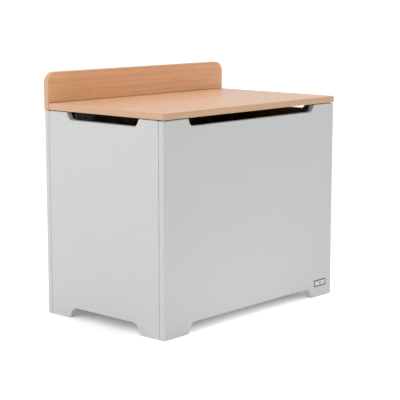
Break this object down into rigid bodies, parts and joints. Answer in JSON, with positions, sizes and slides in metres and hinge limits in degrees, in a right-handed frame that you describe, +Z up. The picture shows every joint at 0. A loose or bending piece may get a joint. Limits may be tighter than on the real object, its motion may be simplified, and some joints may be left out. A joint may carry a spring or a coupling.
{
  "type": "wooden toy box",
  "caption": "Freestanding wooden toy box with a hinged lid, a raised rear backboard, hand slots under the lid and arches between its feet; lid stays hold the lid open.",
  "frame": {"origin": "on the floor, under the middle of the closed box's bounding box", "axes": "+X along the width, to the right seen from the front; +Y from the front to the back; +Z up"},
  "size_m": [0.6, 0.377, 0.561],
  "materials": {
    "painted_board": "satin",
    "oak_finish": "satin",
    "plain_wood": "matte",
    "hinge_steel": "satin",
    "zinc": "satin",
    "housing_plastic": "matte",
    "bumper_rubber": "matte",
    "badge": "satin"
  },
  "bodies": {
    "box": {"back_panel": "painted_board", "backboard": "oak_finish", "badge_plate": "badge", "base_panel": "painted_board", "front_base_batten": "plain_wood", "front_left_corner_dowel": "plain_wood", "front_left_lower_cam_bolt": "zinc", "front_left_lower_cam_lock": "zinc", "front_left_upper_cam_bolt": "zinc", "front_left_upper_cam_lock": "zinc", "front_panel": "painted_board", "front_right_corner_dowel": "plain_wood", "front_right_lower_cam_bolt": "zinc", "front_right_lower_cam_lock": "zinc", "front_right_upper_cam_bolt": "zinc", "front_right_upper_cam_lock": "zinc", "left_backboard_dowel": "plain_wood", "left_base_batten": "plain_wood", "left_hinge_fixed_leaf": "hinge_steel", "left_hinge_pin": "hinge_steel", "left_side_panel": "painted_board", "left_stay_base_pivot": "zinc", "left_stay_housing": "housing_plastic", "rear_base_batten": "plain_wood", "rear_left_corner_dowel": "plain_wood", "rear_left_lower_cam_bolt": "zinc", "rear_left_lower_cam_lock": "zinc", "rear_left_upper_cam_bolt": "zinc", "rear_left_upper_cam_lock": "zinc", "rear_right_corner_dowel": "plain_wood", "rear_right_lower_cam_bolt": "zinc", "rear_right_lower_cam_lock": "zinc", "rear_right_upper_cam_bolt": "zinc", "rear_right_upper_cam_lock": "zinc", "right_backboard_dowel": "plain_wood", "right_base_batten": "plain_wood", "right_hinge_fixed_leaf": "hinge_steel", "right_hinge_pin": "hinge_steel", "right_side_panel": "painted_board", "right_stay_base_pivot": "zinc", "right_stay_housing": "housing_plastic"},
    "lid": {"front_left_bumper": "bumper_rubber", "front_right_bumper": "bumper_rubber", "left_hinge_moving_leaf": "hinge_steel", "left_stay_lid_bracket": "hinge_steel", "left_stay_lid_pivot": "zinc", "lid": "oak_finish", "rear_left_bumper": "bumper_rubber", "rear_right_bumper": "bumper_rubber", "right_hinge_moving_leaf": "hinge_steel", "right_stay_lid_bracket": "hinge_steel", "right_stay_lid_pivot": "zinc"},
    "left_stay_arm": {"left_stay_arm": "hinge_steel", "left_stay_knee_pivot": "zinc"},
    "left_stay_link": {"left_stay_link": "hinge_steel"},
    "right_stay_arm": {"right_stay_arm": "hinge_steel", "right_stay_knee_pivot": "zinc"},
    "right_stay_link": {"right_stay_link": "hinge_steel"}
  },
  "joints": [
    {"name": "lid_hinge", "type": "hinge", "parent": "box", "child": "lid", "pos_m": [0, 0.1706, 0.4885], "axis": [-1, 0, 0], "range_deg": [0, 85]},
    {"name": "left_arm_pivot", "type": "hinge", "parent": "box", "child": "left_stay_arm", "pos_m": [-0.27, 0.1566, 0.3685], "axis": [-1, 0, 0], "range_deg": [0, 85]},
    {"name": "left_link_pivot", "type": "hinge", "parent": "lid", "child": "left_stay_link", "pos_m": [-0.267, 0.1226, 0.4635], "axis": [-1, 0, 0], "range_deg": [-85, 0]},
    {"name": "right_arm_pivot", "type": "hinge", "parent": "box", "child": "right_stay_arm", "pos_m": [0.27, 0.1566, 0.3685], "axis": [-1, 0, 0], "range_deg": [0, 85]},
    {"name": "right_link_pivot", "type": "hinge", "parent": "lid", "child": "right_stay_link", "pos_m": [0.267, 0.1226, 0.4635], "axis": [-1, 0, 0], "range_deg": [-85, 0]}
  ],
  "couplings": [
    {"joint": "left_arm_pivot", "follows": "lid_hinge", "ratio": 1},
    {"joint": "left_link_pivot", "follows": "lid_hinge", "ratio": -1},
    {"joint": "right_arm_pivot", "follows": "lid_hinge", "ratio": 1},
    {"joint": "right_link_pivot", "follows": "lid_hinge", "ratio": -1}
  ]
}
